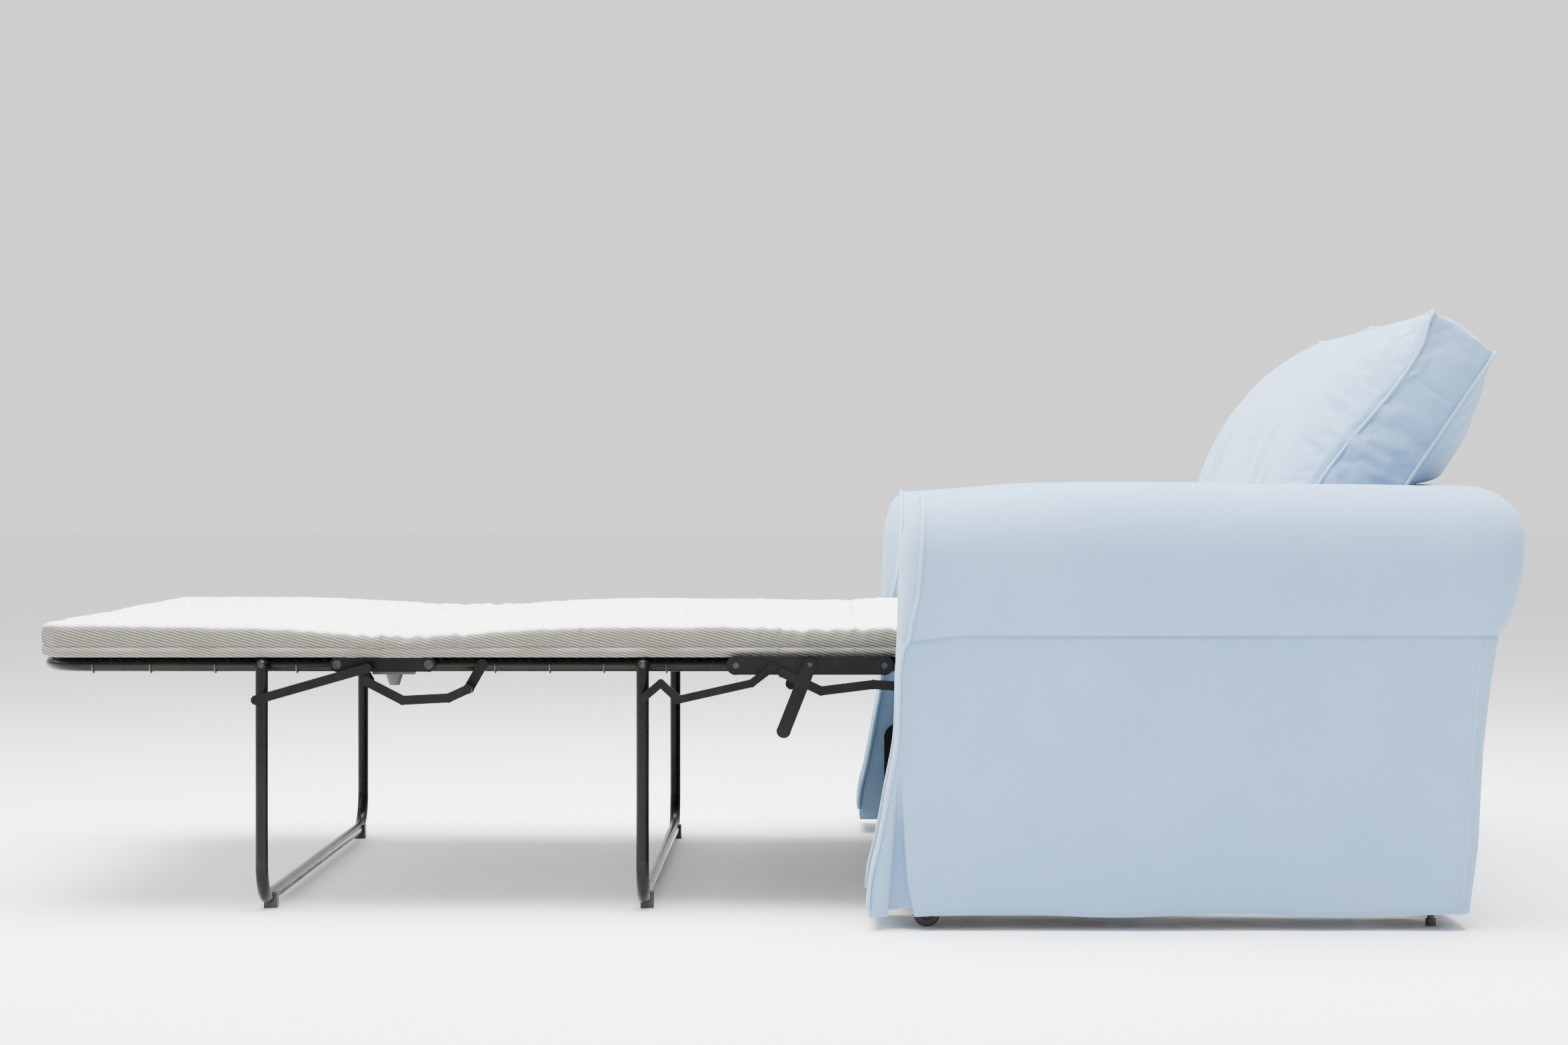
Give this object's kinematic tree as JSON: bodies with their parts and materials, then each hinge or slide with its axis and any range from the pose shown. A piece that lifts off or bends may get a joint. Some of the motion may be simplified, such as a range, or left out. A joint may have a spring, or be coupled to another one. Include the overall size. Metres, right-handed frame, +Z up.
{
  "type": "sofa bed",
  "caption": "Two-seat rolled-arm sofa in a loose slipcover, with a tri-fold steel-framed bed and thin mattress pulled out of it.",
  "frame": {"origin": "on the floor, under the centre of the opened sofa bed's bounding box", "axes": "+Z up, -Y towards the foot of the bed (the sofa's front), +X along the sofa's width"},
  "size_m": [1.92, 2.5049, 1.0285],
  "materials": {
    "slipcover": "matt cotton weave",
    "ticking": "matt woven ticking",
    "deck_cloth": "woven polypropylene",
    "webbing": "elastic webbing",
    "timber": "sawn pine",
    "black_steel": "semi-gloss black powder coat",
    "rivet_steel": "dark zinc",
    "black_plastic": "matt black plastic"
  },
  "bodies": {
    "sofa": {"base_front_rail": "timber", "base_rear_rail": "timber", "base_side_rails": "timber", "arm_frame_left": "timber", "arm_frame_right": "timber", "back_frame": "timber", "back_webbing": "webbing", "cushion_shelf": "slipcover", "arm_cover_left": "slipcover", "arm_cover_right": "slipcover", "back_cover": "slipcover", "mechanism_side_plates": "black_steel", "mechanism_stretchers": "black_steel", "rocker_studs": "rivet_steel", "caster_brackets": "black_steel", "caster_axles": "rivet_steel", "rear_glides": "black_plastic"},
    "front_rocker": {"front_rockers": "black_steel"},
    "rear_rocker": {"rear_rockers": "black_steel"},
    "head_section": {"head_rails": "black_steel", "head_cross_tubes": "black_steel", "head_deck": "deck_cloth", "head_deck_hooks": "rivet_steel", "head_rocker_pins": "rivet_steel", "inner_link_brackets": "black_steel", "mattress_head": "ticking"},
    "inner_hinge": {"inner_hinge_plates": "black_steel", "inner_hinge_pins": "rivet_steel", "mattress_inner_fold": "ticking"},
    "release_lever": {"release_levers": "black_steel"},
    "inner_link": {"inner_links": "black_steel"},
    "middle_section": {"middle_rails": "black_steel", "middle_cross_tubes": "black_steel", "middle_deck": "deck_cloth", "middle_deck_hooks": "rivet_steel", "outer_link_brackets": "black_steel", "mattress_middle": "ticking", "middle_leg_pins": "rivet_steel"},
    "outer_hinge": {"outer_hinge_plates": "black_steel", "outer_hinge_pins": "rivet_steel", "outer_hinge_stops": "black_plastic", "mattress_outer_fold": "ticking"},
    "outer_link": {"outer_links": "black_steel"},
    "foot_section": {"foot_rails": "black_steel", "foot_end_tube": "black_steel", "foot_cross_tube": "black_steel", "foot_deck": "deck_cloth", "foot_deck_hooks": "rivet_steel", "mattress_foot": "ticking", "front_leg_pins": "rivet_steel"},
    "front_leg": {"front_leg_frame": "black_steel", "front_leg_pads": "black_plastic"},
    "front_strut": {"front_leg_struts": "black_steel"},
    "middle_leg": {"middle_leg_frame": "black_steel", "middle_leg_pads": "black_plastic"},
    "middle_strut": {"middle_leg_struts": "black_steel"},
    "caster_left": {"caster_wheel_left": "black_plastic"},
    "caster_right": {"caster_wheel_right": "black_plastic"},
    "cushion_left": {"back_cushion_left": "slipcover"},
    "cushion_right": {"back_cushion_right": "slipcover"}
  },
  "joints": [
    {"name": "stow", "type": "hinge", "parent": "sofa", "child": "front_rocker", "pos_m": [0, 0.2535, 0.198], "axis": [-1, 0, 0], "range_deg": [0, 91]},
    {"name": "rear_rocker_swing", "type": "hinge", "parent": "sofa", "child": "rear_rocker", "pos_m": [0, 0.58, 0.198], "axis": [-1, 0, 0], "range_deg": [0, 91]},
    {"name": "head_carry", "type": "hinge", "parent": "front_rocker", "child": "head_section", "pos_m": [0, 0.3335, 0.424], "axis": [-1, 0, 0], "range_deg": [-91, 0]},
    {"name": "inner_hinge_turn", "type": "hinge", "parent": "head_section", "child": "inner_hinge", "pos_m": [0, 0.2005, 0.424], "axis": [-1, 0, 0], "range_deg": [0, 90], "deforming": ["mattress_inner_fold"]},
    {"name": "inner_link_turn", "type": "hinge", "parent": "head_section", "child": "inner_link", "pos_m": [0, 0.2419, 0.3878], "axis": [-1, 0, 0], "range_deg": [0, 70.34]},
    {"name": "release_lever_hang", "type": "hinge", "parent": "inner_hinge", "child": "release_lever", "pos_m": [0, 0.0734, 0.426], "axis": [-1, 0, 0], "range_deg": [-90, 0]},
    {"name": "fold", "type": "hinge", "parent": "inner_hinge", "child": "middle_section", "pos_m": [0, -0.053, 0.424], "axis": [-1, 0, 0], "range_deg": [0, 90]},
    {"name": "outer_hinge_turn", "type": "hinge", "parent": "middle_section", "child": "outer_hinge", "pos_m": [0, -0.58, 0.424], "axis": [-1, 0, 0], "range_deg": [0, 90], "deforming": ["mattress_outer_fold"]},
    {"name": "outer_link_turn", "type": "hinge", "parent": "middle_section", "child": "outer_link", "pos_m": [0, -0.511, 0.3836], "axis": [-1, 0, 0], "range_deg": [0, 52.66]},
    {"name": "foot_fold", "type": "hinge", "parent": "outer_hinge", "child": "foot_section", "pos_m": [0, -0.737, 0.424], "axis": [-1, 0, 0], "range_deg": [0, 90]},
    {"name": "front_leg_fold", "type": "hinge", "parent": "foot_section", "child": "front_leg", "pos_m": [0, -0.864, 0.424], "axis": [-1, 0, 0], "range_deg": [0, 90]},
    {"name": "front_strut_turn", "type": "hinge", "parent": "front_leg", "child": "front_strut", "pos_m": [0, -0.872, 0.365], "axis": [-1, 0, 0], "range_deg": [-88.6, 0]},
    {"name": "middle_leg_fold", "type": "hinge", "parent": "middle_section", "child": "middle_leg", "pos_m": [0, -0.2127, 0.424], "axis": [-1, 0, 0], "range_deg": [0, 76]},
    {"name": "middle_strut_turn", "type": "hinge", "parent": "middle_leg", "child": "middle_strut", "pos_m": [0, -0.2127, 0.367], "axis": [-1, 0, 0], "range_deg": [-82.85, 0]},
    {"name": "caster_left_roll", "type": "hinge", "parent": "sofa", "child": "caster_left", "pos_m": [-0.854, 0.268, 0.022], "axis": [1, 0, 0], "continuous": true},
    {"name": "caster_right_roll", "type": "hinge", "parent": "sofa", "child": "caster_right", "pos_m": [0.854, 0.268, 0.022], "axis": [1, 0, 0], "continuous": true},
    {"name": "cushion_left_tilt", "type": "hinge", "parent": "sofa", "child": "cushion_left", "pos_m": [-0.3575, 0.96007, 0.53935], "axis": [1, 0, 0], "range_deg": [0, 20]},
    {"name": "cushion_right_tilt", "type": "hinge", "parent": "sofa", "child": "cushion_right", "pos_m": [0.3575, 0.96007, 0.53935], "axis": [1, 0, 0], "range_deg": [0, 20]}
  ],
  "couplings": [
    {"joint": "rear_rocker_swing", "follows": "stow", "ratio": 1},
    {"joint": "head_carry", "follows": "stow", "ratio": -1},
    {"joint": "inner_hinge_turn", "follows": "stow", "ratio": 0.98901},
    {"joint": "inner_link_turn", "follows": "stow", "ratio": 0.76193},
    {"joint": "release_lever_hang", "follows": "stow", "ratio": -0.98901},
    {"joint": "outer_hinge_turn", "follows": "fold", "ratio": 1},
    {"joint": "outer_link_turn", "follows": "fold", "ratio": 0.574},
    {"joint": "foot_fold", "follows": "fold", "ratio": 1},
    {"joint": "front_leg_fold", "follows": "fold", "ratio": 1},
    {"joint": "front_strut_turn", "follows": "fold", "ratio": -0.97329},
    {"joint": "middle_leg_fold", "follows": "fold", "ratio": 0.84444},
    {"joint": "middle_strut_turn", "follows": "fold", "ratio": -0.90941}
  ]
}
